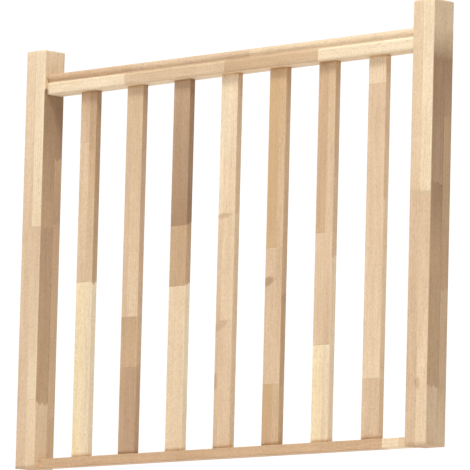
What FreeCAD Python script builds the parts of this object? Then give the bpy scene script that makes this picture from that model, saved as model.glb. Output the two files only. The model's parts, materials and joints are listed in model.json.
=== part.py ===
import FreeCAD, Part
import math
import os

# A fixed wooden safety guard for children: two square posts, a handrail, a thin bottom
# rail and a row of flat slats. Every piece of timber is dowelled or screwed to the next.
#
# The frame: X runs along the guard, Y runs through it with the front at -Y, Z is up.
# The origin is on the floor, under the middle of the guard. All sizes are millimetres.

# ---- Driving sizes -------------------------------------------------------------------

GUARD_LENGTH = 1240.0           # over the outer faces of the two posts

POST_SIZE = 60.0                # square section
POST_HEIGHT = 925.0
POST_ARRIS = 3.0                # rounding of the long edges and of the top

HANDRAIL_HEIGHT = 46.0
HANDRAIL_DEPTH = 44.0
HANDRAIL_UNDERSIDE = 825.0      # above the floor
HANDRAIL_TOP_ARRIS = 8.0
HANDRAIL_LOW_ARRIS = 4.0
FINGER_GROOVE_TOP = 12.0        # below the top of the handrail
FINGER_GROOVE_WIDTH = 10.0
FINGER_GROOVE_DEPTH = 3.0

BOTTOM_RAIL_HEIGHT = 20.0
BOTTOM_RAIL_DEPTH = 34.0
BOTTOM_RAIL_ARRIS = 1.5

SLAT_COUNT = 7
SLAT_WIDTH = 50.0
SLAT_THICKNESS = 16.0
SLAT_ARRIS = 2.0

DOWEL_RADIUS = 4.0
DOWEL_LENGTH = 40.0
DOWEL_CHAMFER = 1.0
DOWEL_FLUTES = 16
DOWEL_FLUTE_DEPTH = 0.3
DOWEL_HOLE_SPARE = 1.0          # glue room past each end of a dowel

SLAT_FIXING_OFFSET = 13.0       # of each dowel or screw from the slat's centre line
HANDRAIL_DOWEL_OFFSET = 13.0    # of each dowel from the handrail's middle, along Y
BOTTOM_RAIL_DOWEL_OFFSET = 8.0  # of each dowel from the bottom rail's middle, along Y

SCREW_RADIUS = 2.0
SCREW_LENGTH = 60.0
SCREW_HEAD_RADIUS = 4.0
SCREW_HEAD_SINK = 0.5           # of the head below the underside of the bottom rail
SCREW_PLAIN_SHANK = 22.0
SCREW_TIP = 4.0
SCREW_PITCH = 1.8
RECESS_WIDTH = 1.0
RECESS_SPAN = 4.4
RECESS_DEPTH = 1.8

DOWEL_SCREW_RADIUS = 4.0
DOWEL_SCREW_LENGTH = 80.0
DOWEL_SCREW_PLAIN = 16.0
DOWEL_SCREW_TIP = 6.0
DOWEL_SCREW_PITCH = 3.2
THREAD_DEPTH_SHARE = 0.25       # of a screw's radius

FOOT_BORE_RADIUS = 4.0          # pilot bore in each post's foot for a floor fixing
FOOT_BORE_DEPTH = 60.0

# ---- Sizes that follow ---------------------------------------------------------------

POST_X = (GUARD_LENGTH - POST_SIZE) / 2.0
INNER_X = POST_X - POST_SIZE / 2.0
HANDRAIL_TOP = HANDRAIL_UNDERSIDE + HANDRAIL_HEIGHT
HANDRAIL_MIDDLE = HANDRAIL_UNDERSIDE + HANDRAIL_HEIGHT / 2.0
SLAT_GAP = (2.0 * INNER_X - SLAT_COUNT * SLAT_WIDTH) / (SLAT_COUNT + 1)
SLAT_PITCH = SLAT_GAP + SLAT_WIDTH
SLAT_XS = [-INNER_X + SLAT_GAP + SLAT_WIDTH / 2.0 + SLAT_PITCH * i for i in range(SLAT_COUNT)]
DOWEL_HOLE_DEPTH = DOWEL_LENGTH / 2.0 + DOWEL_HOLE_SPARE
SIDES = {"left": -1, "right": 1}

ALONG_X = FreeCAD.Vector(1, 0, 0)
ALONG_Y = FreeCAD.Vector(0, 1, 0)
UP = FreeCAD.Vector(0, 0, 1)


def point(x, y, z):
    return FreeCAD.Vector(x, y, z)


def save(name, shape):
    """Writes one sub-part and prints its volume in cubic centimetres."""
    shape.exportStep("parts/" + name + ".step")
    print(name, len(shape.Solids), "solids", round(shape.Volume / 1000.0, 2), "cm3")


# ---- Timber --------------------------------------------------------------------------

def edges_along(shape, direction):
    """The straight edges of a shape that run along a direction."""
    found = []
    for edge in shape.Edges:
        run = edge.Vertexes[1].Point - edge.Vertexes[0].Point
        if run.cross(direction).Length < 1e-6:
            found.append(edge)
    return found


def batten(x, y, z, x0, y0, z0, grain, arris):
    """A planed length of timber with its four long edges rounded."""
    block = Part.makeBox(x, y, z, point(x0, y0, z0))
    return block.makeFillet(arris, edges_along(block, grain))


def bored(wood, holes):
    """Timber with round blind holes; each hole is (radius, depth, mouth, direction)."""
    for radius, depth, mouth, direction in holes:
        wood = wood.cut(Part.makeCylinder(radius, depth, mouth, direction))
    return wood


def post(side):
    """A square post, rounded along its arrises and round its top, with its blind holes."""
    half = POST_SIZE / 2.0
    x = side * POST_X
    wood = Part.makeBox(POST_SIZE, POST_SIZE, POST_HEIGHT, point(x - half, -half, 0))
    rounded = edges_along(wood, UP)
    for edge in wood.Edges:
        if min(v.Point.z for v in edge.Vertexes) > POST_HEIGHT - 1.0:
            rounded.append(edge)
    wood = wood.makeFillet(POST_ARRIS, rounded)
    outwards = ALONG_X * side
    face_x = side * INNER_X
    screw_depth = DOWEL_SCREW_LENGTH / 2.0
    holes = [(DOWEL_SCREW_RADIUS, screw_depth, point(face_x, 0, HANDRAIL_MIDDLE), outwards)]
    for y in (-HANDRAIL_DOWEL_OFFSET, HANDRAIL_DOWEL_OFFSET):
        holes.append((DOWEL_RADIUS, DOWEL_HOLE_DEPTH, point(face_x, y, HANDRAIL_MIDDLE), outwards))
    for y in (-BOTTOM_RAIL_DOWEL_OFFSET, BOTTOM_RAIL_DOWEL_OFFSET):
        mouth = point(face_x, y, BOTTOM_RAIL_HEIGHT / 2.0)
        holes.append((DOWEL_RADIUS, DOWEL_HOLE_DEPTH, mouth, outwards))
    holes.append((FOOT_BORE_RADIUS, FOOT_BORE_DEPTH, point(x, 0, 0), UP))
    return bored(wood, holes)


def handrail_outline():
    """Half of the handrail's section, from the middle of its top round to its underside."""
    half = HANDRAIL_DEPTH / 2.0
    top = HANDRAIL_TOP
    low = HANDRAIL_UNDERSIDE
    curl = math.sqrt(0.5)
    shoulder = top - HANDRAIL_TOP_ARRIS
    groove_top = top - FINGER_GROOVE_TOP
    groove_low = groove_top - FINGER_GROOVE_WIDTH
    groove_middle = (groove_top + groove_low) / 2.0
    r = HANDRAIL_TOP_ARRIS
    q = HANDRAIL_LOW_ARRIS
    steps = [
        ("line", (0, top), (half - r, top)),
        ("arc", (half - r, top), (half - r + r * curl, shoulder + r * curl), (half, shoulder)),
        ("line", (half, shoulder), (half, groove_top)),
        ("arc", (half, groove_top), (half - FINGER_GROOVE_DEPTH, groove_middle), (half, groove_low)),
        ("line", (half, groove_low), (half, low + q)),
        ("arc", (half, low + q), (half - q + q * curl, low + q - q * curl), (half - q, low)),
        ("line", (half - q, low), (0, low)),
    ]
    return steps


def section_edges(steps, mirror, x):
    """Edges of an outline in the plane at x, on the back (1) or the front (-1) half."""
    edges = []
    for kind, *corners in steps:
        places = [point(x, mirror * y, z) for y, z in corners]
        if kind == "line":
            edges.append(Part.LineSegment(*places).toShape())
        else:
            edges.append(Part.Arc(*places).toShape())
    return edges


def handrail():
    """The moulded handrail between the posts, bored for the slats and for both ends."""
    steps = handrail_outline()
    edges = section_edges(steps, 1, -INNER_X) + section_edges(steps, -1, -INNER_X)
    section = Part.Face(Part.Wire(Part.__sortEdges__(edges)))
    wood = section.extrude(ALONG_X * (2.0 * INNER_X))
    holes = []
    for side in SIDES.values():
        face_x = side * INNER_X
        inwards = ALONG_X * -side
        middle = point(face_x, 0, HANDRAIL_MIDDLE)
        holes.append((DOWEL_SCREW_RADIUS, DOWEL_SCREW_LENGTH / 2.0, middle, inwards))
        for y in (-HANDRAIL_DOWEL_OFFSET, HANDRAIL_DOWEL_OFFSET):
            mouth = point(face_x, y, HANDRAIL_MIDDLE)
            holes.append((DOWEL_RADIUS, DOWEL_HOLE_DEPTH, mouth, inwards))
    for slat_x in SLAT_XS:
        for offset in (-SLAT_FIXING_OFFSET, SLAT_FIXING_OFFSET):
            mouth = point(slat_x + offset, 0, HANDRAIL_UNDERSIDE)
            holes.append((DOWEL_RADIUS, DOWEL_HOLE_DEPTH, mouth, UP))
    return bored(wood, holes)


def bottom_rail():
    """The thin rail under the slats, countersunk from below for their screws."""
    wood = batten(
        2.0 * INNER_X, BOTTOM_RAIL_DEPTH, BOTTOM_RAIL_HEIGHT,
        -INNER_X, -BOTTOM_RAIL_DEPTH / 2.0, 0, ALONG_X, BOTTOM_RAIL_ARRIS,
    )
    holes = []
    for side in SIDES.values():
        for y in (-BOTTOM_RAIL_DOWEL_OFFSET, BOTTOM_RAIL_DOWEL_OFFSET):
            mouth = point(side * INNER_X, y, BOTTOM_RAIL_HEIGHT / 2.0)
            holes.append((DOWEL_RADIUS, DOWEL_HOLE_DEPTH, mouth, ALONG_X * -side))
    wood = bored(wood, holes)
    head_cone = SCREW_HEAD_RADIUS - SCREW_RADIUS
    for slat_x in SLAT_XS:
        for offset in (-SLAT_FIXING_OFFSET, SLAT_FIXING_OFFSET):
            mouth = point(slat_x + offset, 0, 0)
            wood = wood.cut(Part.makeCylinder(SCREW_RADIUS, BOTTOM_RAIL_HEIGHT, mouth, UP))
            wood = wood.cut(Part.makeCylinder(SCREW_HEAD_RADIUS, SCREW_HEAD_SINK, mouth, UP))
            sunk = mouth + UP * SCREW_HEAD_SINK
            wood = wood.cut(Part.makeCone(SCREW_HEAD_RADIUS, SCREW_RADIUS, head_cone, sunk, UP))
    return wood


def slat(x):
    """One flat slat, with two dowel holes in its top and two screw holes in its foot."""
    length = HANDRAIL_UNDERSIDE - BOTTOM_RAIL_HEIGHT
    wood = batten(
        SLAT_WIDTH, SLAT_THICKNESS, length,
        x - SLAT_WIDTH / 2.0, -SLAT_THICKNESS / 2.0, BOTTOM_RAIL_HEIGHT, UP, SLAT_ARRIS,
    )
    holes = []
    screw_depth = SCREW_HEAD_SINK + SCREW_LENGTH - BOTTOM_RAIL_HEIGHT
    for offset in (-SLAT_FIXING_OFFSET, SLAT_FIXING_OFFSET):
        top = point(x + offset, 0, HANDRAIL_UNDERSIDE)
        holes.append((DOWEL_RADIUS, DOWEL_HOLE_DEPTH, top, UP * -1))
        foot = point(x + offset, 0, BOTTOM_RAIL_HEIGHT)
        holes.append((SCREW_RADIUS, screw_depth, foot, UP))
    return bored(wood, holes)


# ---- Dowels and screws ---------------------------------------------------------------

def placed(shape, middle, direction):
    """A shape made along Z, turned to a direction and moved to its place."""
    shape.Placement = FreeCAD.Placement(middle, FreeCAD.Rotation(UP, direction))
    return shape


def dowel(middle, direction):
    """A fluted hardwood dowel with chamfered ends, centred on its middle."""
    low = -DOWEL_LENGTH / 2.0
    step = 2.0 * math.pi / DOWEL_FLUTES
    corners = []
    for i in range(DOWEL_FLUTES):
        for share, radius in ((-0.3, DOWEL_RADIUS), (0.3, DOWEL_RADIUS), (0.5, None)):
            r = DOWEL_RADIUS - DOWEL_FLUTE_DEPTH if radius is None else radius
            angle = (i + share) * step
            corners.append(point(r * math.cos(angle), r * math.sin(angle), low))
    corners.append(corners[0])
    fluted = Part.Face(Part.makePolygon(corners)).extrude(UP * DOWEL_LENGTH)
    narrow = DOWEL_RADIUS - DOWEL_CHAMFER
    body = Part.makeCylinder(DOWEL_RADIUS, DOWEL_LENGTH - 2.0 * DOWEL_CHAMFER, UP * (low + DOWEL_CHAMFER))
    foot = Part.makeCone(narrow, DOWEL_RADIUS, DOWEL_CHAMFER, UP * low)
    top = Part.makeCone(DOWEL_RADIUS, narrow, DOWEL_CHAMFER, UP * (-low - DOWEL_CHAMFER))
    envelope = body.fuse([foot, top]).removeSplitter()
    return placed(fluted.common(envelope), middle, direction)


def dowel_pair(places, direction):
    return Part.makeCompound([dowel(place, direction) for place in places])


def thread(start, end, radius, pitch):
    """Points (radius, height) of the ridges of a screw thread from one height to another."""
    root = radius * (1.0 - THREAD_DEPTH_SHARE)
    turns = int(abs(end - start) / pitch)
    rise = (end - start) / turns
    points = []
    for i in range(turns):
        height = start + rise * i
        points.append((root, height))
        points.append((radius, height + rise * 0.5))
    points.append((root, end))
    return points


def turned(outline):
    """A solid of revolution about Z from points (radius, height) that start and end on Z."""
    corners = [point(radius, 0, height) for radius, height in outline]
    corners.append(corners[0])
    return Part.Face(Part.makePolygon(corners)).revolve(point(0, 0, 0), UP, 360)


def wood_screw(x):
    """A countersunk wood screw, driven upwards from the bottom rail into a slat."""
    head = SCREW_HEAD_RADIUS
    shank = SCREW_RADIUS
    outline = [(0, 0), (head, 0), (shank, head - shank), (shank, SCREW_PLAIN_SHANK)]
    outline += thread(SCREW_PLAIN_SHANK, SCREW_LENGTH - SCREW_TIP, shank, SCREW_PITCH)
    outline.append((0, SCREW_LENGTH))
    screw = turned(outline)
    for wide, deep in ((RECESS_SPAN, RECESS_WIDTH), (RECESS_WIDTH, RECESS_SPAN)):
        screw = screw.cut(Part.makeBox(wide, deep, RECESS_DEPTH, point(-wide / 2.0, -deep / 2.0, 0)))
    return placed(screw, point(x, 0, SCREW_HEAD_SINK), UP)


def dowel_screw(side):
    """A double-ended wood screw that pulls the handrail against a post."""
    half = DOWEL_SCREW_LENGTH / 2.0
    plain = DOWEL_SCREW_PLAIN / 2.0
    upper = thread(plain, half - DOWEL_SCREW_TIP, DOWEL_SCREW_RADIUS, DOWEL_SCREW_PITCH)
    lower = [(radius, -height) for radius, height in reversed(upper)]
    outline = [(0, -half)] + lower + [(DOWEL_SCREW_RADIUS, -plain), (DOWEL_SCREW_RADIUS, plain)]
    outline += upper + [(0, half)]
    return placed(turned(outline), point(side * INNER_X, 0, HANDRAIL_MIDDLE), ALONG_X)


# ---- The whole guard -----------------------------------------------------------------

os.makedirs("parts", exist_ok=True)

for side_name, side in SIDES.items():
    save(side_name + "_post", post(side))
    rail_ends = [
        point(side * INNER_X, y, HANDRAIL_MIDDLE) for y in (-HANDRAIL_DOWEL_OFFSET, HANDRAIL_DOWEL_OFFSET)
    ]
    save("handrail_" + side_name + "_dowels", dowel_pair(rail_ends, ALONG_X))
    save("handrail_" + side_name + "_dowel_screw", dowel_screw(side))
    foot_ends = [
        point(side * INNER_X, y, BOTTOM_RAIL_HEIGHT / 2.0)
        for y in (-BOTTOM_RAIL_DOWEL_OFFSET, BOTTOM_RAIL_DOWEL_OFFSET)
    ]
    save("bottom_rail_" + side_name + "_dowels", dowel_pair(foot_ends, ALONG_X))

save("handrail", handrail())
save("bottom_rail", bottom_rail())

for number, slat_x in enumerate(SLAT_XS, start=1):
    name = "slat_" + str(number)
    save(name, slat(slat_x))
    pair = (slat_x - SLAT_FIXING_OFFSET, slat_x + SLAT_FIXING_OFFSET)
    save(name + "_dowels", dowel_pair([point(x, 0, HANDRAIL_UNDERSIDE) for x in pair], UP))
    save(name + "_screws", Part.makeCompound([wood_screw(x) for x in pair]))
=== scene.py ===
# %% [markdown]
# # A wooden safety guard
# The guard is eleven lengths of pale, finger-jointed rubberwood: two square posts, a moulded
# handrail, a thin bottom rail and seven flat slats. This notebook loads the designed model,
# keeps every place and size from it, and gives the timber its real surface: short staves glued
# end to end and edge to edge, each with its own tone and its own run of grain.

# %% Load the designed model
import json
import math

import bpy
import numpy as np
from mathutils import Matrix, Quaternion, Vector


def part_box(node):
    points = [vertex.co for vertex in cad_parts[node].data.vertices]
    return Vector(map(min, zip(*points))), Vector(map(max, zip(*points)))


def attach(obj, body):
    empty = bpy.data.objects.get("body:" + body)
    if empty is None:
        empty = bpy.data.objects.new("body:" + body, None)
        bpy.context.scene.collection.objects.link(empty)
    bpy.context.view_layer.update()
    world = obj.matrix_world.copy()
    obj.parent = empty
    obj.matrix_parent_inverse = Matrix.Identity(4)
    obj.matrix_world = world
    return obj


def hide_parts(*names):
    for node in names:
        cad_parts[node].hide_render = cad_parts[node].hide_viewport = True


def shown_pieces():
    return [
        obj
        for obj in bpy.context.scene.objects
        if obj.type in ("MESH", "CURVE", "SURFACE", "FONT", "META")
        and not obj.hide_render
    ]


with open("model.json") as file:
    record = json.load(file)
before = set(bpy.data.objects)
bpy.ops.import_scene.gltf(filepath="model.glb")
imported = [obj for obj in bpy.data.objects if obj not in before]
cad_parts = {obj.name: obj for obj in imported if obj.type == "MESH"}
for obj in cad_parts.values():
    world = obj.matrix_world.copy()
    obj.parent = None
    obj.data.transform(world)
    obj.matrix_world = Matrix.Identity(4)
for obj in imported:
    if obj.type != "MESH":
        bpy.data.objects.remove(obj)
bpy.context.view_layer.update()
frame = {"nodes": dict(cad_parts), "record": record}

# %% [markdown]
# ## Three helpers
# Colours are written as the hex codes that a paint card would give, and a renderer needs them
# linear. A node tree is easier to read when one call makes a node, sets it and joins it up. Each
# finish starts from an empty tree, so that nothing in it is left over from Blender's own.

# %% Colour and node helpers
MM = 0.001


def linear(code):
    """sRGB hex code to linear red, green and blue: each channel is undone by the sRGB curve."""
    channels = np.array([int(code[i:i + 2], 16) for i in (0, 2, 4)]) / 255.0
    curve = np.where(channels <= 0.04045, channels / 12.92, ((channels + 0.055) / 1.055) ** 2.4)
    return tuple(curve)


def add(tree, kind, inputs=(), **settings):
    """Adds a node, applies its settings, and links or fills the inputs that are given."""
    node = tree.nodes.new(kind)
    for key, value in settings.items():
        setattr(node, key, value)
    for socket, value in dict(inputs).items():
        if isinstance(value, bpy.types.NodeSocket):
            tree.links.new(value, node.inputs[socket])
        else:
            node.inputs[socket].default_value = value
    return node


def blank_material(name):
    """A material with an empty node tree, and that tree."""
    material = bpy.data.materials.new(name)
    material.use_nodes = True
    material.node_tree.nodes.clear()
    return material, material.node_tree


# %% [markdown]
# ## Tones of rubberwood
# Rubberwood from one tree runs from milk to light brown, and a maker glues short lengths as they
# come off the saw, so neighbours hardly ever match. A card of fifteen tones is enough.

# %% The tone card
TONES = {
    "milk": "FBE9CB",
    "ivory": "FBE6BF",
    "cream": "F6E0C1",
    "oat": "F1D7B7",
    "straw": "ECD1B0",
    "wheat": "E7CAAA",
    "rose": "E9CCB1",
    "sand": "E1C3A3",
    "biscuit": "DBBC9A",
    "honey": "D7B592",
    "amber": "D8B48A",
    "oak": "CFAE8B",
    "nut": "C4A385",
    "cocoa": "B49374",
    "umber": "A6876A",
}
TONE_ORDER = sorted(TONES)
TONE_TABLE = np.array([linear(TONES[name]) for name in TONE_ORDER])
print(len(TONES), "tones on the card")

# %% [markdown]
# ## How each timber is put together
# A face of a timber is one strip, or two strips glued edge to edge. Each strip is a chain of
# staves, listed from the low end as (where it starts in millimetres, its tone). A stave that
# shades from one tone to another along its length is written "sand>oat". Uprights are measured
# from the floor and the handrail from the middle of the guard. A stave runs right through a thin
# slat, so the back repeats the front. The thicker timbers have other staves behind, and those
# get random lengths and tones from a seeded generator, so every run is alike.
# Some tones also stand in for light: the left post's right face and the top of slat_1 carry painted
# shade under the handrail, and the left post is painted paler above it.

# %% Staves of each timber
WHOLE = 1.0                 # the share of a face at which its last strip ends
STAVES = {
    "left_post": {
        "front": [(0.54, [(0, "wheat"), (526, "wheat>oat")]),
                  (WHOLE, [(0, "oat"), (150, "cream>sand"), (532, "cream")])],
        # Painted shade: on this face the staves from about 530 mm darken up to the handrail's
        # underside at 825 mm, standing in for the handrail's shadow, and the staves from 828 mm are
        # paler, painted light above the handrail.
        "right": [(0.64, [(0, "straw>oat"), (140, "oak>nut"), (528, "oak>umber"), (828, "oat")]),
                  (WHOLE, [(0, "biscuit"), (107, "sand>oak"), (540, "nut>oak"), (680, "cocoa>umber"),
                           (828, "oat")])],
    },
    "right_post": {
        "front": [(0.52, [(0, "sand"), (533, "straw")]),
                  (WHOLE, [(0, "oat"), (150, "oat>sand"), (522, "cream")])],
        # On this face the staves darken from about 400 mm up to 795 mm and are paler from there to the
        # top, the same pattern as on the left post's right face.
        "right": [(0.62, [(0, "wheat"), (118, "oak"), (400, "oak>cocoa"), (538, "nut>cocoa"),
                          (795, "cocoa>straw"), (860, "straw")]),
                  (WHOLE, [(0, "straw>biscuit"), (118, "biscuit"), (320, "oak"), (680, "nut>cocoa"),
                           (795, "cocoa>straw"), (860, "oat")])],
    },
    "slat_1": {
        # Partly painted shade: the joints at 712 and 690 mm are real, and the staves above them darken
        # up to the handrail, standing in for the handrail's shadow.
        "front": [(0.60, [(0, "ivory"), (403, "wheat"), (712, "sand>honey")]),
                  (WHOLE, [(0, "cream"), (403, "sand>honey"), (690, "oak>nut")])],
        "right": [(WHOLE, [(0, "milk"), (398, "oak>cocoa")])],
    },
    "slat_2": {
        "front": [(0.35, [(0, "nut>oak"), (208, "honey>oak"), (318, "sand")]),
                  (WHOLE, [(0, "nut"), (208, "honey>oak"), (318, "straw>biscuit")])],
        "right": [(WHOLE, [(0, "nut>oak"), (208, "biscuit"), (318, "sand>nut")])],
    },
    "slat_3": {
        "front": [(WHOLE, [(0, "oat"), (376, "oak"), (507, "cocoa>nut")])],
        "right": [(WHOLE, [(0, "milk"), (376, "oak"), (507, "umber")])],
    },
    "slat_4": {
        "front": [(0.25, [(0, "sand"), (292, "sand>wheat"), (520, "cream")]),
                  (WHOLE, [(0, "wheat"), (292, "straw"), (520, "oat>cream")])],
        "right": [(WHOLE, [(0, "straw"), (520, "wheat>biscuit")])],
    },
    "slat_5": {
        "front": [(0.64, [(0, "oak>amber"), (150, "wheat>sand"), (440, "amber")]),
                  (WHOLE, [(0, "biscuit"), (150, "wheat>biscuit"), (440, "sand>amber")])],
        "right": [(WHOLE, [(0, "honey>oak"), (335, "honey>biscuit"), (700, "honey>oak")])],
    },
    "slat_6": {
        "front": [(0.60, [(0, "ivory"), (225, "wheat"), (462, "honey")]),
                  (WHOLE, [(0, "oat>cream"), (225, "sand>wheat"), (462, "wheat>biscuit")])],
        "right": [(WHOLE, [(0, "milk>cream"), (406, "wheat>honey")])],
    },
    "slat_7": {
        "front": [(WHOLE, [(0, "sand"), (147, "oat>sand"), (765, "oat")])],
        "right": [(WHOLE, [(0, "straw"), (140, "cream"), (520, "oat>wheat")])],
    },
    "handrail": {
        "front": [(0.58, [(-560, "cream"), (-314, "sand"), (-3, "oak>biscuit"), (277, "cream>milk")]),
                  (WHOLE, [(-560, "honey"), (-293, "sand"), (70, "straw>oat")])],
        "under": [(WHOLE, [(-560, "cream"), (-120, "oat"), (240, "straw")])],
    },
}
COMMON_TONES = ("cream", "oat", "straw", "wheat", "rose", "sand", "biscuit", "honey", "oak")
STAVE_LENGTHS = (150, 450)  # mm
rng = np.random.default_rng(7)


def random_face(low, high):
    """One strip of staves of random lengths, each with a tone unlike the last."""
    chain = []
    start = low
    tone = rng.integers(len(COMMON_TONES))
    while start < high:
        chain.append((start, COMMON_TONES[tone]))
        start += float(rng.uniform(*STAVE_LENGTHS))
        tone = (tone + rng.integers(1, len(COMMON_TONES))) % len(COMMON_TONES)
    return [(WHOLE, chain)]


def from_behind(strips):
    """The same staves seen from the back: each strip's share now runs the other way."""
    starts = [0.0] + [edge for edge, _chain in strips[:-1]]
    return [(WHOLE - start, chain) for start, (_edge, chain) in zip(starts[::-1], strips[::-1])]


drawn = [chain for faces in STAVES.values() for strips in faces.values() for _edge, chain in strips]
print(sum(len(chain) for chain in drawn), "staves placed by hand, in", len(drawn), "strips")

# %% [markdown]
# ## Outlines
# Every timber is an outline carried along a straight line. An outline here is a set of arrays,
# one entry per point round the section: its place, the way it faces, which face it belongs to,
# how far across that face it lies, and how worn it is where an arris is rounded.

# %% Outline of a planed, square-edged timber
STRIP_GAP = 0.15 * MM       # from the middle of a glue line to the nearest point on each side
SEAM = np.array([-3, -1, 1, 3]) * STRIP_GAP     # the four points of a glue line
SEAM_CLEAR = 0.75           # how many spacings the other points keep from it
ARRIS_STEPS = 6             # parts that a rounded arris is divided into
ARRIS_LEAD = 0.2            # radians by which its wear starts before its first point
FACES = ("front", "right", "back", "left")


def face_shares(width, spacing, strips):
    """Shares from 0 to 1 across a face, evenly spaced, with four close ones at each glue line."""
    shares = np.linspace(0.0, 1.0, max(3, int(width / spacing)) + 1)
    for edge, _chain in strips[:-1]:
        shares = shares[abs(shares - edge) > SEAM_CLEAR * spacing / width]
        shares = np.sort(np.concatenate([shares, edge + SEAM / width]))
    return shares


def planed_outline(width, depth, arris, spacing, staves):
    """A rectangle with rounded corners, anticlockwise from its front left corner.

    A point on a flat face is the face's start plus its share of the run. A point on a corner is
    the corner's centre plus the radius times (cos angle, sin angle), over a quarter turn. Wear
    is the sine of twice the angle since the first point and its lead, so the middle has most.
    """
    corners = np.array([(-1, -1), (1, -1), (1, 1), (-1, 1)]) * (width / 2 - arris, depth / 2 - arris)
    normals = np.array([(0, -1), (1, 0), (0, 1), (-1, 0)])
    parts = []
    for number, name in enumerate(FACES):
        start = corners[number] + normals[number] * arris
        end = corners[(number + 1) % 4] + normals[number] * arris
        share = face_shares(np.linalg.norm(end - start), spacing, staves[name])
        flat = start + share[:, None] * (end - start)
        facing = np.repeat(normals[number][None, :], len(share), 0)
        parts.append((flat, facing, np.full(len(share), number), share, np.zeros(len(share))))
        turn = math.radians(90 * number - 90) + np.linspace(0, math.pi / 2, ARRIS_STEPS + 1)[1:-1]
        facing = np.stack([np.cos(turn), np.sin(turn)], 1)
        round_part = corners[(number + 1) % 4] + arris * facing
        late = np.arange(len(turn)) >= len(turn) / 2
        face = np.where(late, (number + 1) % 4, number)
        share = np.where(late, 0.0, 1.0)
        wear = np.sin(2 * (turn - turn[0] + ARRIS_LEAD))
        parts.append((round_part, facing, face, share, wear))
    return [np.concatenate(column) for column in zip(*parts)]


# %% [markdown]
# ## From staves to numbers
# Each point of a timber needs to know which stave it is on. The rings of points are placed so
# that a close pair straddles every glued joint, and the pair follows the saw-tooth of the finger
# joint on the faces where the cutter leaves one. The tone then changes exactly at the joint.

# %% Ring places, finger joints and tones
RING_STEP = 9 * MM
FINGER_LENGTH = 9 * MM
FINGER_PITCH = 4 * MM
FINGER_FADE = 12 * MM       # rings further than this from a joint hardly follow its fingers
# The rings of a joint, from its middle: the closest two straddle the glue.
JOINT_RINGS = np.array([-24, -16, -9, -4, -0.5, -0.15, 0.15, 0.5, 4, 9, 16, 24]) * MM
JOINT_CLEAR = 27 * MM       # how far the evenly spread rings keep from a joint
CLOSEST_RINGS = 0.05 * MM


def ring_places(low, high, joints):
    """Where the rings go: an even spread, thinned beside each joint and refilled there."""
    places = np.linspace(low, high, int((high - low) / RING_STEP) + 1)
    for joint in joints:
        inner = (abs(places - joint) > JOINT_CLEAR) | (places == low) | (places == high)
        places = np.concatenate([places[inner], joint + JOINT_RINGS])
    places = np.sort(places[(places >= low) & (places <= high)])
    return places[np.concatenate([[True], np.diff(places) > CLOSEST_RINGS])]


def finger_wave(across):
    """A saw-tooth between 0 and 1 that rises and falls once in each finger's pitch."""
    return 1.0 - abs(2.0 * ((across / FINGER_PITCH) % 1.0) - 1.0)


def tone_pair(text):
    """The linear colours at a stave's low and high ends, from "sand" or "sand>oat"."""
    ends = text.split(">")
    return [TONE_TABLE[TONE_ORDER.index(name)] for name in (ends[0], ends[-1])]


print("fingers", FINGER_LENGTH / MM, "mm long, one every", FINGER_PITCH / MM, "mm")

# %% [markdown]
# ## Each stave's own wood
# A stave was sawn from its own place in its own log, so its grain has nothing to do with its
# neighbour's. Every stave gets a random place in the tree, and a random hair of height, because
# sanding never leaves two staves quite level.

# %% What each stave carries
HEART_AWAY = (25, 90)       # mm from the heart of the tree to the stave
LOG_REACH = 3.0             # metres up or down the log that a stave may have come from
STAVE_STEP = 0.04           # mm that a stave may stand above or below its neighbours
GLUE_LINE = 0.3 * MM        # how far a glue line reaches to each side
ROUNDING = 1e-9


def pith_shift(middle, axes):
    """What moves a stave's points into its own log.

    Across the grain it is a distance in a random direction from the timber's middle, and along
    the grain a random length.
    """
    turn = rng.uniform(0, 2 * math.pi)
    away = rng.uniform(*HEART_AWAY) * MM
    shift = np.zeros(3)
    shift[axes[0]] = away * math.cos(turn) - middle[0]
    shift[axes[1]] = away * math.sin(turn) - middle[1]
    shift[axes[2]] = rng.uniform(-LOG_REACH, LOG_REACH)
    return shift


def chain_fields(chain, places, middle, axes):
    """Tone, shift and step of one strip at each ring, and the places of its joints.

    The tone is low * (1 - run) + high * run, where run goes from 0 to 1 along the stave.
    """
    starts = np.array([start for start, _tone in chain]) * MM
    index = np.clip(np.searchsorted(starts, places, side="right") - 1, 0, None)
    ends = np.append(starts[1:], places[-1])
    run = np.clip((places - starts[index]) / (ends - starts)[index], 0, 1)[:, None]
    shades = np.array([tone_pair(text) for _start, text in chain])[index]
    shifts = np.stack([pith_shift(middle, axes) for _stave in chain])
    steps = rng.uniform(-STAVE_STEP, STAVE_STEP, len(chain)) * MM
    tones = shades[:, 0] * (1 - run) + shades[:, 1] * run
    return tones, shifts[index], steps[index], starts[1:]


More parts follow.
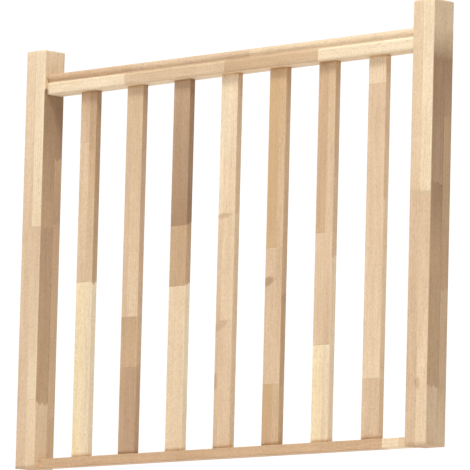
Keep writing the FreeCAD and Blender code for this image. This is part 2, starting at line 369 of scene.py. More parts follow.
def stave_fields(outline, places, staves, names, fingered, across, middle, axes):
    """Tone, shift, glue, finger offset and step of every point, as (rings, columns) arrays."""
    _point, _facing, face, share, _arris = outline
    size = (len(places), len(face))
    tone, shift = np.zeros((*size, 3)), np.zeros((*size, 3))
    glue, slide, step = np.zeros(size), np.zeros(size), np.zeros(size)
    for number, name in enumerate(names):
        begin = 0.0
        for edge, chain in staves[name]:
            last = edge if edge < WHOLE else math.inf
            mine = (face == number) & (share >= begin - ROUNDING) & (share <= last)
            tones, shifts, steps, joints = chain_fields(chain, places, middle, axes)
            tone[:, mine] = tones[:, None, :]
            shift[:, mine] = shifts[:, None, :]
            step[:, mine] = steps[:, None]
            for joint in joints:
                glued = abs(places - joint) < GLUE_LINE
                glue[:, mine] = np.maximum(glue[:, mine], glued[:, None])
                if name in fingered:
                    near = np.exp(-(((places - joint) / FINGER_FADE) ** 2))
                    wave = finger_wave(across[mine]) * FINGER_LENGTH
                    slide[:, mine] += near[:, None] * wave[None, :]
            if edge < WHOLE:
                width = np.ptp(across[face == number])
                glue[:, (face == number) & (abs(share - edge) * width < GLUE_LINE)] = 1.0
            begin = edge
    return tone, shift, glue, slide, step


# %% [markdown]
# ## Carrying an outline along
# The points of all rings make one grid, and each ring joins the next with four-sided faces. The
# ends are closed by rings that shrink to one middle point. The glue lines are real grooves, about
# a tenth of a millimetre deep. The staves run through to the ends of the timber, so the end
# grain shows the same staves as the front.

# %% Build a mesh from rings
GLUE_DEPTH = 0.12 * MM


def skin(name, grid, smooth_rows, attributes, tips):
    """A closed mesh from rings of points.

    Face (k, m) joins points m and m+1 of ring k to those of ring k+1. Each end is closed by
    triangles from its ring to one tip.
    """
    rings, columns, _ = grid.shape
    index = np.arange(rings * columns).reshape(rings, columns)
    right = np.roll(index, -1, 1)
    quads = np.stack([index[:-1], right[:-1], right[1:], index[1:]], -1).reshape(-1, 4)
    low_tip = rings * columns
    high_tip = low_tip + 1
    low_fan = np.stack([np.full(columns, low_tip), right[0], index[0]], -1)
    high_fan = np.stack([np.full(columns, high_tip), index[-1], right[-1]], -1)
    points = np.concatenate([grid.reshape(-1, 3), tips])
    mesh = bpy.data.meshes.new(name)
    mesh.from_pydata(points, [], quads.tolist() + low_fan.tolist() + high_fan.tolist())
    smooth = np.concatenate([np.repeat(smooth_rows, columns), np.zeros(2 * columns, bool)])
    mesh.polygons.foreach_set("use_smooth", smooth)
    for label, kind, field, values in attributes:
        flat = values.reshape(rings * columns, -1)
        ends = np.stack([flat[:columns].mean(0), flat[-columns:].mean(0)])
        layer = mesh.attributes.new(label, kind, "POINT")
        layer.data.foreach_set(field, np.concatenate([flat, ends]).astype(np.float32).ravel())
    mesh.update()
    piece = bpy.data.objects.new(name, mesh)
    bpy.context.scene.collection.objects.link(piece)
    return piece


def timber(name, outline, places, staves, names, fingered, axes, end_rings):
    """A length of jointed timber.

    A point is the outline's point, moved out along its facing by the stave's step less the glue
    groove, at the ring's place plus the finger offset. axes says which of X, Y and Z hold the
    section's two directions and the length. end_rings gives, for each end, the rings past the
    last one, as (share of the section kept, inset, place). A point of such a ring takes the tone
    of the front's point straight in front of it.
    """
    point, facing, face, _share, arris = outline
    across = np.concatenate([[0.0], np.cumsum(np.linalg.norm(np.diff(point, axis=0), axis=1))])
    middle = (point.max(0) + point.min(0)) / 2
    fields = stave_fields(outline, places, staves, names, fingered, across, middle, axes)
    tone, shift, glue, slide, step = fields
    section = point + (step - GLUE_DEPTH * glue)[:, :, None] * facing

    low_rings, high_rings = end_rings
    first, last = len(low_rings), len(low_rings) + len(places)
    grid = np.empty((last + len(high_rings), len(point), 3))
    grid[first:last, :, axes[0]] = section[:, :, 0]
    grid[first:last, :, axes[1]] = section[:, :, 1]
    grid[first:last, :, axes[2]] = places[:, None] + slide
    padding = ((first, len(high_rings)), (0, 0))
    tone = np.pad(tone, padding + ((0, 0),), "edge")
    shift = np.pad(shift, padding + ((0, 0),), "edge")
    front = np.flatnonzero(face == names.index("front"))
    side = np.ptp(point[front], axis=0).argmax()
    rows = [*range(first), *range(last, len(grid))]
    for row, (share, inset, place) in zip(rows, low_rings[::-1] + high_rings):
        flat = middle + (point - inset * facing - middle) * share
        grid[row, :, axes[0]] = flat[:, 0]
        grid[row, :, axes[1]] = flat[:, 1]
        grid[row, :, axes[2]] = place
        nearest = front[abs(flat[:, side][:, None] - point[front, side]).argmin(1)]
        tone[row] = tone[row, nearest]
        shift[row] = shift[row, nearest]

    smooth = [share == WHOLE for share, _inset, _place in low_rings[::-1]]
    smooth += [True] * (len(places) - 1)
    smooth += [share == WHOLE for share, _inset, _place in high_rings]
    tips = np.zeros((2, 3))
    tips[:, axes[0]], tips[:, axes[1]] = middle
    tips[:, axes[2]] = grid[0, 0, axes[2]], grid[-1, 0, axes[2]]
    worn = np.repeat(arris[None], len(places), 0)
    opaque = np.concatenate([tone, np.ones_like(tone[:, :, :1])], -1)
    layers = [
        ("stave_tone", "FLOAT_COLOR", "color", opaque),
        ("stave_shift", "FLOAT_VECTOR", "vector", shift),
        ("glue", "FLOAT", "value", np.pad(glue, padding)),
        ("arris", "FLOAT", "value", np.pad(worn, padding, "edge")),
    ]
    piece = skin(name, grid, np.array(smooth), layers, tips)
    print(name, len(piece.data.vertices), "points", len(places), "rings")
    return piece


def all_joints(staves):
    """Every place where one stave meets the next, on any face, in metres."""
    chains = [chain for strips in staves.values() for _edge, chain in strips]
    return sorted({start * MM for chain in chains for start, _tone in chain[1:]})


# %% [markdown]
# ## The posts
# A post is 60 mm square with its long edges and its top just broken by sandpaper. Its foot has
# the blind bore that takes a floor fixing, so the rings at the low end shrink to a square, step
# on to the bore's circle and then run up inside it.

# %% Make the posts
POST_ARRIS = 3.0 * MM
POST_COLUMNS = 3 * MM       # spacing of the points across a face
BORE_RADIUS = 4.0 * MM
BORE_DEPTH = 60.0 * MM
CLOSING_SHARES = (0.8, 0.5, 0.2)
END_TURNS = np.radians([18, 36, 54, 72, 90])
SLOT_OF = {entry["node"]: entry["material_slot"] for entry in frame["record"]["subparts"]}


def stand_for(piece, node):
    """Makes a piece stand for its designed solid: the piece joins the root body and the solid is
    hidden.
    """
    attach(piece, "root")
    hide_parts(node)


def flat_end(place):
    """Rings that close a square-cut end: the section shrunk in steps towards its middle."""
    return [(share, 0.0, place) for share in CLOSING_SHARES]


def rounded_end(place, arris):
    """Rings round the edge of an end: inset and rise follow a quarter circle, then shrink."""
    rises = [(arris * (1 - math.cos(t)), place - arris * (1 - math.sin(t))) for t in END_TURNS]
    edge = [(WHOLE, inset, height) for inset, height in rises]
    return edge + [(share, arris, place) for share in CLOSING_SHARES]


def bore(piece, centre, columns, depth):
    """Opens the foot of a post.

    The second ring is drawn out to the mouth of the bore, as centre + radius (cos a, sin a). The
    first ring and the tip go up to its blind end.
    """
    places = np.empty(len(piece.data.vertices) * 3)
    piece.data.vertices.foreach_get("co", places)
    places = places.reshape(-1, 3)
    mouth = places[columns:2 * columns, :2] - centre
    angle = np.arctan2(mouth[:, 1], mouth[:, 0])
    circle = centre + BORE_RADIUS * np.stack([np.cos(angle), np.sin(angle)], 1)
    places[:columns, :2] = circle
    places[columns:2 * columns, :2] = circle
    places[:columns, 2] = depth
    places[-2] = (*centre, depth)
    piece.data.vertices.foreach_set("co", places.ravel())
    piece.data.update()


for node in ("left_post", "right_post"):
    low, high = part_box(node)
    faces = dict(STAVES[node])
    for name in FACES:
        faces.setdefault(name, random_face(0, high.z / MM))
    size = high - low
    outline = planed_outline(size.x, size.y, POST_ARRIS, POST_COLUMNS, faces)
    centre = np.array([(low.x + high.x) / 2, (low.y + high.y) / 2])
    outline[0] = outline[0] + centre
    places = ring_places(low.z, high.z - POST_ARRIS, all_joints(faces))
    ends = (flat_end(low.z), rounded_end(high.z, POST_ARRIS))
    post = timber("jointed_" + node, outline, places, faces, FACES, ("left", "right"), (0, 1, 2), ends)
    bore(post, centre, len(outline[0]), low.z + BORE_DEPTH)
    stand_for(post, node)

# %% [markdown]
# ## The slats
# A slat is a 50 by 16 mm batten. The finger joints were cut across its thickness, so the fronts
# show a straight line and the narrow edges show the saw-tooth.

# %% Make the slats
SLAT_ARRIS = 2.0 * MM
SLAT_COLUMNS = 2.5 * MM
slat_nodes = sorted(node for node in STAVES if node.startswith("slat_"))
for node in slat_nodes:
    low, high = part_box(node)
    faces = dict(STAVES[node])
    faces["back"] = from_behind(faces["front"])
    faces["left"] = [(WHOLE, faces["front"][0][1])]
    size = high - low
    outline = planed_outline(size.x, size.y, SLAT_ARRIS, SLAT_COLUMNS, faces)
    outline[0] = outline[0] + np.array([(low.x + high.x) / 2, (low.y + high.y) / 2])
    places = ring_places(low.z, high.z, all_joints(faces))
    ends = (flat_end(low.z), flat_end(high.z))
    slat = timber("jointed_" + node, outline, places, faces, FACES, ("left", "right"), (0, 1, 2), ends)
    stand_for(slat, node)

# %% [markdown]
# ## The handrail
# The handrail was run through a moulder: a rounded top, a shallow cove on each side for the
# fingers, and softened lower edges. Its outline is worked out as straight runs and arcs in the
# plane across the rail, then walked at an even spacing.

# %% Outline of the moulded handrail
TOP_ARRIS = 8.0 * MM
LOW_ARRIS = 4.0 * MM
COVE_TOP = 12.0 * MM        # from the top of the rail down to the cove
COVE_WIDTH = 10.0 * MM
COVE_DEPTH = 3.0 * MM
RAIL_COLUMNS = 3 * MM
SHOULDER_COLUMNS = 2 * MM   # the short run between the cove and the rounded top
EDGE = 1 * MM               # how near the edge of a face its staves give way to the next face's
ARRIS_PART = 0.9            # how much of a rounded arris counts as worn
RAIL_FACES = ("under", "back", "top", "front")


def arc(centre, radius, start, end, count):
    """Points at centre + radius (cos a, sin a), with a from start to end in degrees."""
    a = np.radians(np.linspace(start, end, count))
    return np.array(centre) + radius * np.stack([np.cos(a), np.sin(a)], 1)


def straight(start, end, spacing):
    """Evenly spaced points on a straight run, without its two ends."""
    start, end = np.array(start), np.array(end)
    steps = max(2, int(np.linalg.norm(end - start) / spacing))
    return start + np.linspace(0, 1, steps + 1)[1:-1, None] * (end - start)


def half_outline(half, height):
    """The back half of the section, from the middle of the underside up to the middle of the top.

    The cove is the arc of a circle whose chord is its width and whose rise is its depth:
    radius = (width^2 / 4 + depth^2) / (2 depth).
    """
    cove_radius = (COVE_WIDTH ** 2 / 4 + COVE_DEPTH ** 2) / (2 * COVE_DEPTH)
    cove_half = math.degrees(math.asin(COVE_WIDTH / 2 / cove_radius))
    cove_centre = (half - COVE_DEPTH + cove_radius, height - COVE_TOP - COVE_WIDTH / 2)
    low_bend = arc((half - LOW_ARRIS, LOW_ARRIS), LOW_ARRIS, -90, 0, count=7)
    cove = arc(cove_centre, cove_radius, 180 + cove_half, 180 - cove_half, count=15)
    top_bend = arc((half - TOP_ARRIS, height - TOP_ARRIS), TOP_ARRIS, 0, 90, count=10)
    return np.concatenate([
        straight((0, 0), low_bend[0], RAIL_COLUMNS), low_bend,
        straight(low_bend[-1], cove[0], RAIL_COLUMNS), cove,
        straight(cove[-1], top_bend[0], SHOULDER_COLUMNS), top_bend,
        straight(top_bend[-1], (0, height), RAIL_COLUMNS),
    ])


def rail_outline(half, height, seam_share):
    """Both halves, anticlockwise seen from the right.

    Four close points straddle the front's glue line. A point faces across the line from the
    point before it to the point after it.
    """
    back = half_outline(half, height)
    front = back[::-1] * (-1, 1)
    seam = height * seam_share
    column = np.argmin(abs(front[:, 1] - seam))
    close = np.repeat(front[column][None], len(SEAM), 0)
    close[:, 1] = seam - SEAM
    front = np.concatenate([front[:column], close, front[column + 1:]])
    point = np.concatenate([[(0, 0)], back, [(0, height)], front])
    ahead = np.roll(point, -1, 0) - np.roll(point, 1, 0)
    facing = np.stack([ahead[:, 1], -ahead[:, 0]], 1)
    facing /= np.linalg.norm(facing, axis=1)[:, None]
    y, z = point.T
    side = (abs(y) > half - COVE_DEPTH - EDGE) & (z > EDGE / 2) & (z < height - EDGE)
    face = np.where(side, np.where(y > 0, 1, 3), np.where(z < height / 2, 0, 2))
    share = np.where(side, z / height, (y + half) / (2 * half))
    bent = (z < LOW_ARRIS * ARRIS_PART) | (z > height - TOP_ARRIS * ARRIS_PART)
    arris = np.where(side & bent, 1.0, 0.0)
    return [point, facing, face, share, arris]


# %% Make the handrail
low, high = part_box("handrail")
faces = dict(STAVES["handrail"])
for name in RAIL_FACES:
    faces.setdefault(name, random_face(low.x / MM, high.x / MM))
outline = rail_outline((high.y - low.y) / 2, high.z - low.z, faces["front"][0][0])
outline[0] = outline[0] + np.array([(low.y + high.y) / 2, low.z])
places = ring_places(low.x, high.x, all_joints(faces))
ends = (flat_end(low.x), flat_end(high.x))
fingered = ("top", "under")
handrail = timber("moulded_handrail", outline, places, faces, RAIL_FACES, fingered, (1, 2, 0), ends)
stand_for(handrail, "handrail")

# %% [markdown]
# ## Finish: sanded rubberwood
# Bare rubberwood has no shine to speak of. What the eye sees is a faint band every few
# millimetres from the years of growth, soft clouds and streaks along the grain, a speckle of
# rays, and short brown dashes where the saw cut open the pores. All of it is stretched along the
# grain, so one pattern in three dimensions serves the faces and the end grain alike. Each stave
# carries its own shift, so the grain breaks at the joint.

# %% Patterns that follow the grain
def grained(tree, moved, along, wide, long, detail, roughness):
    """Noise whose cells measure wide across the grain and long down it, in mm."""
    scale = [1 / (wide * MM)] * 3
    scale[along] = 1 / (long * MM)
    mapped = add(tree, "ShaderNodeMapping", {"Vector": moved, "Scale": scale}).outputs[0]
    noise = {"Vector": mapped, "Scale": 1.0, "Detail": detail, "Roughness": roughness}
    return add(tree, "ShaderNodeTexNoise", noise).outputs["Fac"]


RING_WIDTH = 6.5 * MM
RING_STRAY = 24 * MM        # how far the wander moves a ring in or out


def growth_rings(tree, moved, along, wander):
    """A sine of the distance from the heart of the log, which wanders slowly along the grain."""
    flat = [1.0, 1.0, 1.0]
    flat[along] = 0.0
    crosswise = add(tree, "ShaderNodeVectorMath", {0: moved, 1: flat}, operation="MULTIPLY").outputs[0]
    radius = add(tree, "ShaderNodeVectorMath", {0: crosswise}, operation="LENGTH").outputs["Value"]
    bent = {0: wander, 1: RING_STRAY, 2: radius}
    radius = add(tree, "ShaderNodeMath", bent, operation="MULTIPLY_ADD").outputs[0]
    turns = {0: radius, 1: 2 * math.pi / RING_WIDTH}
    turns = add(tree, "ShaderNodeMath", turns, operation="MULTIPLY").outputs[0]
    return add(tree, "ShaderNodeMath", {0: turns}, operation="SINE").outputs[0]


# %% [markdown]
# ## The figure
# The figure of the wood is one number near 1 that the plain tone is multiplied by. Darker
# figure is also warmer, because what darkens wood takes away blue before it takes away red.

# %% The figure of the wood
RING_DEPTH = 0.028
ARRIS_PALER = 0.03          # sandpaper leaves the arrises a little paler
# Each pattern: how wide and how long its cells are in mm, how much they vary the tone, and its
# detail and roughness. They are clouds in the colour, stripes, streaks, and the speckle of rays,
# which is drawn several times coarser than real rays so that it shows.
FIGURE = [
    (34, 80, 0.16, 1.0, 0.5),
    (15, 280, 0.20, 2.0, 0.5),
    (2.2, 70, 0.15, 3.0, 0.55),
    (3.6, 4.8, 0.46, 2.0, 0.65),
]
WARM_GAIN = (0.8, 1.0, 1.3)     # how strongly the figure acts on red, green and blue
WARM_BASE = (0.2, 0.0, -0.3)    # keeps all three at 1 where the figure is 1


def wood_figure(tree, moved, along, wander):
    """1, plus each pattern times its weight, less half of the weights of the noises."""
    arris = add(tree, "ShaderNodeAttribute", attribute_name="arris").outputs["Fac"]
    parts = [(growth_rings(tree, moved, along, wander), RING_DEPTH), (arris, ARRIS_PALER)]
    for wide, long, weight, detail, roughness in FIGURE:
        parts.append((grained(tree, moved, along, wide, long, detail, roughness), weight))
    figure = 1.0 - sum(entry[2] for entry in FIGURE) / 2
    for part, weight in parts:
        more = {0: part, 1: weight, 2: figure}
        figure = add(tree, "ShaderNodeMath", more, operation="MULTIPLY_ADD").outputs[0]
    return figure


def figured(tree, tone, figure):
    """The tone times the figure, in each channel with its own gain."""
    warmth = {0: figure, 1: WARM_GAIN, 2: WARM_BASE}
    factor = add(tree, "ShaderNodeVectorMath", warmth, operation="MULTIPLY_ADD").outputs[0]
    return add(tree, "ShaderNodeVectorMath", {0: tone, 1: factor}, operation="MULTIPLY").outputs[0]


# %% [markdown]
# ## Stains and knots
# The wood is stained brown along its pores, at the glue lines, on the end grain, and in a few
# places of its own: the dark end of one stave, and some pin knots and mill marks. A stain of the
# last kind is an ellipse on the front, laid by a mapping node that gives the distance from its
# middle in its own half widths. The slow wander of the grain is added, so that it looks ragged.

# %% Stains
# Each stain: its middle, half its width and half its height in mm, its lean in degrees, its
# colour and its strength.
STAINS = [
    ((130, -8, 369), 21, 11, 14, "A07A56", 0.50),
    ((-8, -8, 519), 24, 6, 0, "B99B78", 0.32),
    ((-10, -8, 283), 20, 9, 25, "BBA27E", 0.28),
    ((-23, -8, 165), 7, 17, 0, "B08F70", 0.35),
    ((594, -30, 128), 8, 14, 0, "C09A74", 0.35),
]
STAIN_DEPTH = 30 * MM           # half its reach into the wood, so it goes through a slat
STAIN_RAGGED = 0.9              # how many half widths the wander moves its edge
STAIN_EDGE = (1.6, 1.15)        # where a stain starts and is full, in half widths plus wander
# Each kind of stain: its tint, where on its pattern it starts and is full, and its strength.
PORE_STAIN = ("B08C68", 0.62, 0.74, 0.35)
GLUE_STAIN = ("A98460", 0.0, 1.0, 0.35)
END_STAIN = ("CFAE8A", 0.75, 0.95, 0.6)


def stained(tree, colour, pattern, tint, start, full, strength):
    """Multiplies a colour by a tint, more and more as a pattern goes from start to full."""
    reach = {"Value": pattern, "From Min": start, "From Max": full, "To Max": strength}
    amount = add(tree, "ShaderNodeMapRange", reach).outputs["Result"]
    mixed = {0: amount, 6: colour, 7: (*linear(tint), 1.0)}     # 6 and 7 are the two colours
    return add(tree, "ShaderNodeMix", mixed, data_type="RGBA", blend_type="MULTIPLY").outputs[2]


def spotted(tree, colour, place, wander, stains):
    """Lays each stain on a colour: its pattern is the distance from its middle plus the wander."""
    for centre, wide, tall, lean, tint, strength in stains:
        ellipse = {
            "Vector": place,
            "Location": [value * MM for value in centre],
            "Rotation": (0.0, math.radians(-lean), 0.0),
            "Scale": (wide * MM, STAIN_DEPTH, tall * MM),
        }
        near = add(tree, "ShaderNodeMapping", ellipse, vector_type="TEXTURE").outputs[0]
        reach = add(tree, "ShaderNodeVectorMath", {0: near}, operation="LENGTH").outputs["Value"]
        ragged = {0: wander, 1: STAIN_RAGGED, 2: reach}
        reach = add(tree, "ShaderNodeMath", ragged, operation="MULTIPLY_ADD").outputs[0]
        colour = stained(tree, colour, reach, tint, *STAIN_EDGE, strength)
    return colour


def end_grain(tree, along):
    """How squarely a face looks along the grain: 1 on an end, 0 on the long faces."""
    facing = add(tree, "ShaderNodeTexCoord").outputs["Normal"]
    endwise = add(tree, "ShaderNodeSeparateXYZ", {0: facing}).outputs[along]
    return add(tree, "ShaderNodeMath", {0: endwise}, operation="ABSOLUTE").outputs[0]


# %% [markdown]
# ## The finish put together
# The colour is the stave's tone, figured and stained. Pores are cut into the surface, and the
# paler wood is a little smoother than the darker, as sanded wood is. Bare wood scatters light
# with a roughness of about 0.6 and bends it by about 1.5.

# %% The timber material
# Each pattern: how wide and how long its cells are in mm, its detail and its roughness. Real
# pores are a fifth of a millimetre wide, too fine to show, so these are several times as wide.
WANDER = (45, 260, 2.0, 0.5)
PORES = (1.2, 12, 1.0, 0.5)
PORE_CUT = -0.5                 # pores go down into the surface
RELIEF = {"Strength": 0.35, "Distance": 0.25 * MM}
ROUGHNESS = {"From Min": 0.9, "From Max": 1.1, "To Min": 0.66, "To Max": 0.54}


def sanded_rubberwood(name, along, tone_of, stains):
    """Bare sanded rubberwood: the tone times its figure, stained, with the pores as a bump.

    along is the axis of the grain, 0 for X and 2 for Z. tone_of(tree, place) gives the colour
    socket of the plain tone.
    """
    material, tree = blank_material(name)
    place = add(tree, "ShaderNodeTexCoord").outputs["Object"]
    shift = add(tree, "ShaderNodeAttribute", attribute_name="stave_shift").outputs["Vector"]
    moved = add(tree, "ShaderNodeVectorMath", {0: place, 1: shift}, operation="ADD").outputs[0]
    wander = grained(tree, moved, along, *WANDER)
    figure = wood_figure(tree, moved, along, wander)
    pores = grained(tree, moved, along, *PORES)
    glue = add(tree, "ShaderNodeAttribute", attribute_name="glue").outputs["Fac"]

    colour = figured(tree, tone_of(tree, place), figure)
    colour = stained(tree, colour, pores, *PORE_STAIN)
    colour = spotted(tree, colour, place, wander, stains)
    colour = stained(tree, colour, glue, *GLUE_STAIN)
    colour = stained(tree, colour, end_grain(tree, along), *END_STAIN)

    cut = {0: pores, 1: PORE_CUT, 2: figure}
    height = add(tree, "ShaderNodeMath", cut, operation="MULTIPLY_ADD").outputs[0]
    normal = add(tree, "ShaderNodeBump", {"Height": height, **RELIEF}).outputs["Normal"]
    rough = add(tree, "ShaderNodeMapRange", {"Value": figure, **ROUGHNESS}).outputs["Result"]
    surface = {"Base Color": colour, "Roughness": rough, "IOR": 1.50, "Normal": normal}
    shader = add(tree, "ShaderNodeBsdfPrincipled", surface).outputs["BSDF"]
    add(tree, "ShaderNodeOutputMaterial", {"Surface": shader})
    return material


# %% [markdown]
# ## Where the tone comes from
# The remade timbers carry the tone of each stave on their points. The bottom rail keeps its
# designed shape, which carries nothing, so a ramp along its length gives the tones of its three
# staves instead.

# %% Put the finish on the timbers
# Where each stave of the bottom rail starts, in metres to the right of the middle, and its tone.
BOTTOM_STAVES = ((0.0, "honey"), (0.481, "cream"), (0.528, "straw"))


def stave_tone(tree, _place):
    """The tone that each point of a jointed timber carries."""
    return add(tree, "ShaderNodeAttribute", attribute_name="stave_tone").outputs["Color"]


def bottom_rail_tone(tree, place):
    """Three staves butted end to end: the first reaches all the way to the left-hand end."""
    x = add(tree, "ShaderNodeSeparateXYZ", {0: place}).outputs["X"]
    ramp = add(tree, "ShaderNodeValToRGB", {"Fac": x})
    ramp.color_ramp.interpolation = "CONSTANT"
    ramp.color_ramp.elements.new(0.5)
    for stop, (where, tone) in zip(ramp.color_ramp.elements, BOTTOM_STAVES):
        stop.position = where
        stop.color = (*linear(TONES[tone]), 1.0)
    return ramp.outputs["Color"]


def refinish(node, material):
    """Gives a designed solid its finish and leaves its shape alone."""
    solid = frame["nodes"][node]
    solid.data.materials.clear()
    solid.data.materials.append(material)


upright = sanded_rubberwood("sanded_rubberwood_upright", 2, stave_tone, STAINS)
lengthwise = sanded_rubberwood("sanded_rubberwood_lengthwise", 0, stave_tone, [])
bottom = sanded_rubberwood("sanded_rubberwood_bottom_rail", 0, bottom_rail_tone, [])
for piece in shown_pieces():
    if piece.name.startswith("jointed_"):
        piece.data.materials.append(upright)
handrail.data.materials.append(lengthwise)
refinish("bottom_rail", bottom)
print("rubberwood on", len(STAVES), "jointed timbers and the bottom rail")

# %% [markdown]
# ## Finish: dowels and screws
# The dowels are compressed beech, pinker and closer grained than the guard. The screws are
# zinc-plated steel: a thin, slightly cloudy plating that never takes a mirror shine.

# %% Dowel and screw materials
FLECK = 1.2 * MM
FLECK_TONES = ((0.35, "B98F68"), (0.65, "D6B08A"))
CLOUD = 0.6 * MM
CLOUD_TONES = ((0.3, "B4B6B6"), (0.7, "D2D3D0"))


def fluted_beech():
    """Compressed beech: a pinkish brown with short dark flecks about a millimetre across."""
    material, tree = blank_material("fluted_beech")
    place = add(tree, "ShaderNodeTexCoord").outputs["Object"]
    noise = {"Vector": place, "Scale": 1 / FLECK, "Detail": 2.0}
    flecks = add(tree, "ShaderNodeTexNoise", noise).outputs["Fac"]
    ramp = add(tree, "ShaderNodeValToRGB", {"Fac": flecks})
    for stop, (where, code) in zip(ramp.color_ramp.elements, FLECK_TONES):
        stop.position = where
        stop.color = (*linear(code), 1.0)
    bump = {"Height": flecks, "Strength": 0.3, "Distance": 0.1 * MM}
    normal = add(tree, "ShaderNodeBump", bump).outputs["Normal"]
    surface = {"Base Color": ramp.outputs["Color"], "Roughness": 0.6, "IOR": 1.50, "Normal": normal}
    shader = add(tree, "ShaderNodeBsdfPrincipled", surface).outputs["BSDF"]
    add(tree, "ShaderNodeOutputMaterial", {"Surface": shader})
    return material


def zinc_plate():
    """Bright zinc on steel: a metal whose roughness clouds over half a millimetre or so."""
    material, tree = blank_material("zinc_plated_steel")
    place = add(tree, "ShaderNodeTexCoord").outputs["Object"]
    noise = {"Vector": place, "Scale": 1 / CLOUD, "Detail": 3.0}
    cloud = add(tree, "ShaderNodeTexNoise", noise).outputs["Fac"]
    ramp = add(tree, "ShaderNodeValToRGB", {"Fac": cloud})
    for stop, (where, code) in zip(ramp.color_ramp.elements, CLOUD_TONES):
        stop.position = where
        stop.color = (*linear(code), 1.0)
    spread = {"Value": cloud, "To Min": 0.28, "To Max": 0.45}
    rough = add(tree, "ShaderNodeMapRange", spread).outputs["Result"]
    surface = {"Base Color": ramp.outputs["Color"], "Metallic": 1.0, "Roughness": rough}
    shader = add(tree, "ShaderNodeBsdfPrincipled", surface).outputs["BSDF"]
    add(tree, "ShaderNodeOutputMaterial", {"Surface": shader})
    return material


hardware = {"dowel_beech": fluted_beech(), "zinc_screw": zinc_plate()}
fasteners = [node for node, slot in SLOT_OF.items() if slot in hardware]
for node in fasteners:
    refinish(node, hardware[SLOT_OF[node]])
print("beech and zinc on", len(fasteners), "groups of fasteners")

# %% [markdown]
# ## Floor and light
# The guard stands on a pale floor in a white studio. The view looks up from below the floor, so
# the floor is painted on its upper side only and is clear from underneath, and it is cut away
# under the feet so that their undersides aren't black. The main light hangs high in front on the
# right, which puts the shadow under the handrail and models the edges of the slats. A weak broad
# one stands on the left in front, a third fills in the back, and the white room does the rest.

# %% Floor, room and lights
FLOOR_REACH = 9.0
FLOOR_DROP = 0.5 * MM
FLOOR_LAP = 1.5 * MM        # how far the floor runs in under the edge of each foot
FLOOR_WHITES = ("F0EFEC", "F4F3F1")
HORIZON = 0.05              # the room's light turns from below to above across this rise
GUARD_MIDDLE = Vector((0, 0, 0.5))


def footprint(nodes):
    """The low and high corners, seen from above, of the floor under each named node."""
    boxes = [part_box(node) for node in nodes]
    lows = np.array([(low.x, low.y) for low, _high in boxes]) + FLOOR_LAP
    highs = np.array([(high.x, high.y) for _low, high in boxes]) - FLOOR_LAP
    return lows, highs


def studio_floor():
    """A flat grid whose lines run along the edges of the footprint, without the cells inside it."""
    lows, highs = footprint(("left_post", "bottom_rail", "right_post"))
    xs = np.unique(np.concatenate([[-FLOOR_REACH, FLOOR_REACH], lows[:, 0], highs[:, 0]]))
    ys = np.unique(np.concatenate([[-FLOOR_REACH, FLOOR_REACH], lows[:, 1], highs[:, 1]]))
    x, y = np.meshgrid(xs, ys, indexing="ij")
    points = np.stack([x, y, np.full_like(x, -FLOOR_DROP)], -1).reshape(-1, 3)
    index = np.arange(x.size).reshape(x.shape)
    cells = np.stack([index[:-1, :-1], index[1:, :-1], index[1:, 1:], index[:-1, 1:]], -1)
    cells = cells.reshape(-1, 4)
    middles = points[cells].mean(1)[:, None, :2]
    covered = ((middles > lows) & (middles < highs)).all(2).any(1)
    mesh = bpy.data.meshes.new("studio_floor")
    mesh.from_pydata(points, [], cells[~covered].tolist())
    floor = bpy.data.objects.new("studio_floor", mesh)
    bpy.context.scene.collection.objects.link(floor)
    mesh.materials.append(floor_paint())
    print("floor of", int((~covered).sum()), "slabs")


def floor_paint():
    """Matt white paint, a little uneven, on the upper side only: the lower side is clear."""
    material, tree = blank_material("matt_white_floor")
    place = add(tree, "ShaderNodeTexCoord").outputs["Object"]
    noise = {"Vector": place, "Scale": 3.0, "Detail": 3.0}
    uneven = add(tree, "ShaderNodeTexNoise", noise).outputs["Fac"]
    ramp = add(tree, "ShaderNodeValToRGB", {"Fac": uneven})
    for stop, code in zip(ramp.color_ramp.elements, FLOOR_WHITES):
        stop.color = (*linear(code), 1.0)
    surface = {"Base Color": ramp.outputs["Color"], "Roughness": 0.9}
    paint = add(tree, "ShaderNodeBsdfPrincipled", surface)
    clear = add(tree, "ShaderNodeBsdfTransparent")
    below = add(tree, "ShaderNodeNewGeometry").outputs["Backfacing"]
    sides = {0: below, 1: paint.outputs[0], 2: clear.outputs[0]}
    shader = add(tree, "ShaderNodeMixShader", sides).outputs[0]
    add(tree, "ShaderNodeOutputMaterial", {"Surface": shader})
    return material


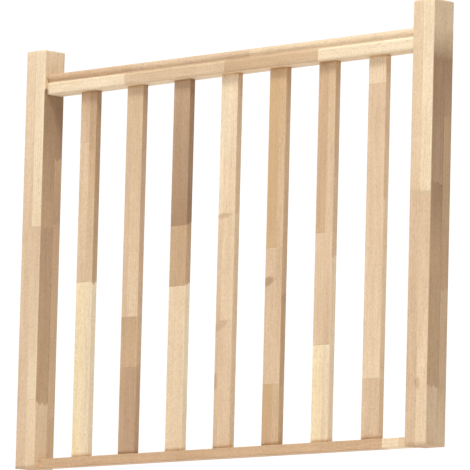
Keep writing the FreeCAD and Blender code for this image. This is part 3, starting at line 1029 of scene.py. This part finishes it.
def white_room(seen, above, below, colour):
    """A white world: one strength to look at, and others as the light from above and below."""
    world = bpy.data.worlds.new("white_room")
    world.use_nodes = True
    tree = world.node_tree
    tree.nodes.clear()
    straight = add(tree, "ShaderNodeLightPath").outputs["Is Camera Ray"]
    way = add(tree, "ShaderNodeTexCoord").outputs["Generated"]
    rise = add(tree, "ShaderNodeSeparateXYZ", {0: way}).outputs["Z"]
    span = {"Value": rise, "From Min": -HORIZON, "From Max": HORIZON, "To Min": below, "To Max": above}
    felt = add(tree, "ShaderNodeMapRange", span).outputs["Result"]
    light = add(tree, "ShaderNodeBackground", {"Color": (*linear(colour), 1.0), "Strength": felt})
    white = add(tree, "ShaderNodeBackground", {"Color": (1.0, 1.0, 1.0, 1.0), "Strength": seen})
    both = {0: straight, 1: light.outputs[0], 2: white.outputs[0]}
    room = add(tree, "ShaderNodeMixShader", both).outputs[0]
    add(tree, "ShaderNodeOutputWorld", {"Surface": room})
    bpy.context.scene.world = world


def soft_light(name, where, size, power, colour):
    """A square light at a place, aimed at the middle of the guard."""
    data = bpy.data.lights.new(name, "AREA")
    data.size = size
    data.energy = power
    data.color = linear(colour)
    lamp = bpy.data.objects.new(name, data)
    lamp.location = where
    aim = GUARD_MIDDLE - lamp.location
    lamp.rotation_mode = "QUATERNION"
    lamp.rotation_quaternion = aim.to_track_quat("-Z", "Y")
    bpy.context.scene.collection.objects.link(lamp)
    print(name, power, "watts from", round(aim.length, 2), "metres")


studio_floor()
white_room(seen=1.05, above=0.29, below=0.9, colour="FFF9F1")
soft_light("front_left_fill", Vector((-3.5, -6.5, 4.6)), size=4.5, power=50, colour="FFFDFA")
soft_light("high_right_key", Vector((1.8, -3.4, 7.2)), size=2.0, power=455, colour="FFFFFC")
soft_light("rear_fill", Vector((-2.5, 6.0, 4.0)), size=4.0, power=130, colour="FFFDFA")
bpy.context.scene.view_settings.view_transform = "Standard"
bpy.context.scene.view_settings.look = "None"

# %% [markdown]
# ## Camera
# A long lens far away keeps the uprights almost parallel. The camera stands to the front right,
# a little below the floor's level, and is rolled by a degree and a half.

# %% Place the camera
AIM = Vector((0.027, -0.007, 0.475))
AZIMUTH = math.radians(45.46)
ELEVATION = math.radians(-6.90)
ROLL = math.radians(1.45)
DISTANCE = 12.477
LENS = 448.9

back = Vector((
    math.sin(AZIMUTH) * math.cos(ELEVATION),
    -math.cos(AZIMUTH) * math.cos(ELEVATION),
    math.sin(ELEVATION),
))
lens = bpy.data.cameras.new("long_lens")
lens.lens = LENS
lens.sensor_width = 36.0
lens.clip_end = 100.0
camera = bpy.data.objects.new("camera", lens)
camera.location = AIM + back * DISTANCE
camera.rotation_mode = "QUATERNION"
camera.rotation_quaternion = (-back).to_track_quat("-Z", "Y") @ Quaternion((0, 0, 1), ROLL)
bpy.context.scene.collection.objects.link(camera)
bpy.context.scene.camera = camera
print("camera", DISTANCE, "m away, lens", LENS, "mm")
